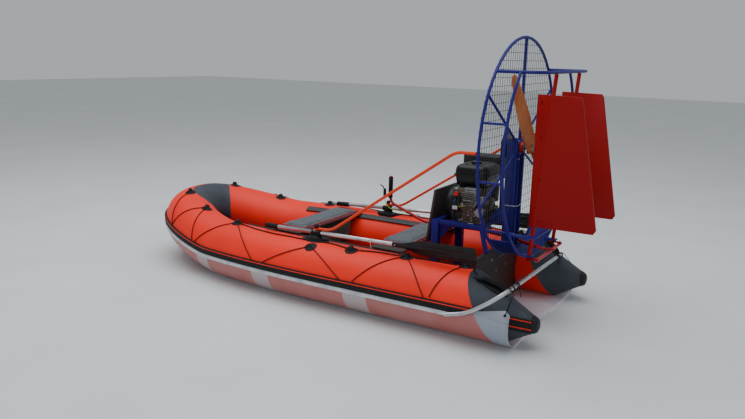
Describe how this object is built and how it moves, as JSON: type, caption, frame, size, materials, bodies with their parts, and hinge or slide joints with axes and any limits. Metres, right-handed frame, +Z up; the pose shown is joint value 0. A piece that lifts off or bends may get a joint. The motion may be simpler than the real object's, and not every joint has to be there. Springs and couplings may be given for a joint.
{
  "type": "inflatable air-propelled boat",
  "caption": "Inflatable boat with cone-ended side tubes, ice guard sheet, stern engine, caged air propeller, twin air rudders, tiller, seats and stowed oars.",
  "frame": {"origin": "on the flat underside of the ice guard sheet, on the centre plane, at the middle of the hull's 3.40 m length", "axes": "+X towards the bow, +Y to port, +Z up"},
  "size_m": [3.621, 1.5427, 1.839],
  "materials": {
    "tube_fabric": "orange PVC-coated fabric, satin",
    "grey_fabric": "dark grey PVC-coated fabric",
    "rail_rubber": "black extrusion with two thin orange lines",
    "guard_plastic": "milky translucent sheet plastic",
    "aluminium": "plain, slightly dull",
    "deck": "grey coated plywood",
    "dark_wood": "dark stained plywood",
    "seat_fabric": "grey cloth with red piping",
    "blue_paint": "gloss blue",
    "wire": "dark wire",
    "red_paint": "gloss dark red",
    "orange_paint": "gloss orange",
    "steel": "machined",
    "blade_wood": "varnished",
    "casting": "rough castings, oily",
    "black_plastic": "moulded, satin",
    "tank_paint": "gloss black",
    "muffler_steel": "heat stained",
    "belt_rubber": "ribbed",
    "board_black": "black coated plywood",
    "grip_rubber": "ribbed grip"
  },
  "bodies": {
    "boat": {"tube_port": "tube_fabric", "tube_starboard": "tube_fabric", "tube_fore_port": "tube_fabric", "tube_fore_starboard": "tube_fabric", "bow_port": "tube_fabric", "bow_starboard": "tube_fabric", "cone_port": "grey_fabric", "cone_starboard": "grey_fabric", "hull_bottom": "grey_fabric", "seat_rail_port": "grey_fabric", "seat_rail_starboard": "grey_fabric", "rub_rail_port": "rail_rubber", "rub_rail_starboard": "rail_rubber", "ice_guard_sheet": "guard_plastic", "guard_strip_port": "aluminium", "guard_strip_starboard": "aluminium", "stern_tube": "aluminium", "floor_deck": "deck", "transom": "dark_wood", "seat_board_front": "dark_wood", "seat_board_rear": "dark_wood", "seat_cushion_front": "seat_fabric", "seat_cushion_rear": "seat_fabric", "seat_bag": "seat_fabric", "cage_front_ring": "blue_paint", "cage_top_arms": "blue_paint", "cage_low_arms": "blue_paint", "cage_rear_ring": "blue_paint", "mast": "blue_paint", "engine_frame": "blue_paint", "tiller_pivot": "blue_paint", "cage_mesh": "wire", "bearing_housing": "red_paint", "brace_port": "orange_paint", "brace_starboard": "orange_paint", "engine_block": "casting", "engine_fan_housing": "black_plastic", "air_cleaner": "black_plastic", "oarlock_port": "black_plastic", "oarlock_starboard": "black_plastic", "fuel_tank": "tank_paint", "muffler": "muffler_steel", "drive_belt": "belt_rubber", "backrest_board": "board_black"},
    "propeller": {"prop_shaft": "steel", "propeller_blades": "blade_wood", "prop_plate": "steel"},
    "crank": {"crank_pulley": "steel"},
    "rudder_port": {"rudder_port": "red_paint"},
    "rudder_starboard": {"rudder_starboard": "red_paint"},
    "tie_bar": {"tie_bar": "red_paint"},
    "tiller": {"tiller_tube": "red_paint", "tiller_grip": "grip_rubber", "throttle_lever": "black_plastic"},
    "oar_port": {"oar_shaft_port": "aluminium", "oar_grip_port": "grip_rubber", "oar_blade_port": "black_plastic"},
    "oar_starboard": {"oar_shaft_starboard": "aluminium", "oar_grip_starboard": "grip_rubber", "oar_blade_starboard": "black_plastic"}
  },
  "joints": [
    {"name": "propeller_spin", "type": "hinge", "parent": "boat", "child": "propeller", "pos_m": [-1.4, 0, 1.132], "axis": [1, 0, 0], "continuous": true},
    {"name": "crank_spin", "type": "hinge", "parent": "boat", "child": "crank", "pos_m": [-1.236, 0, 0.7], "axis": [1, 0, 0], "continuous": true},
    {"name": "rudder_port_turn", "type": "hinge", "parent": "boat", "child": "rudder_port", "pos_m": [-1.51341, 0.25, 0.468], "axis": [-0.0754, 0, 0.9971], "range_deg": [-30, 30]},
    {"name": "rudder_starboard_turn", "type": "hinge", "parent": "boat", "child": "rudder_starboard", "pos_m": [-1.51341, -0.25, 0.468], "axis": [-0.0754, 0, 0.9971], "range_deg": [-30, 30]},
    {"name": "tie_bar_pin", "type": "hinge", "parent": "rudder_port", "child": "tie_bar", "pos_m": [-1.56341, 0.25, 0.468], "axis": [-0.0754, 0, 0.9971], "range_deg": [-30, 30]},
    {"name": "tiller_swing", "type": "hinge", "parent": "boat", "child": "tiller", "pos_m": [-1.22, -0.16, 0.481], "axis": [0, 0, 1], "range_deg": [-5, 5]},
    {"name": "oar_port_swing", "type": "hinge", "parent": "boat", "child": "oar_port", "pos_m": [-0.066, 0.5, 0.47], "axis": [0, 0.1736, 0.9848], "range_deg": [-90, 0]},
    {"name": "oar_starboard_swing", "type": "hinge", "parent": "boat", "child": "oar_starboard", "pos_m": [-0.066, -0.5, 0.47], "axis": [0, -0.1736, 0.9848], "range_deg": [0, 90]}
  ],
  "couplings": [
    {"joint": "crank_spin", "follows": "propeller_spin", "ratio": 2},
    {"joint": "rudder_starboard_turn", "follows": "rudder_port_turn", "ratio": 1},
    {"joint": "tie_bar_pin", "follows": "rudder_port_turn", "ratio": -1},
    {"joint": "tiller_swing", "follows": "rudder_port_turn", "ratio": 0.14}
  ]
}
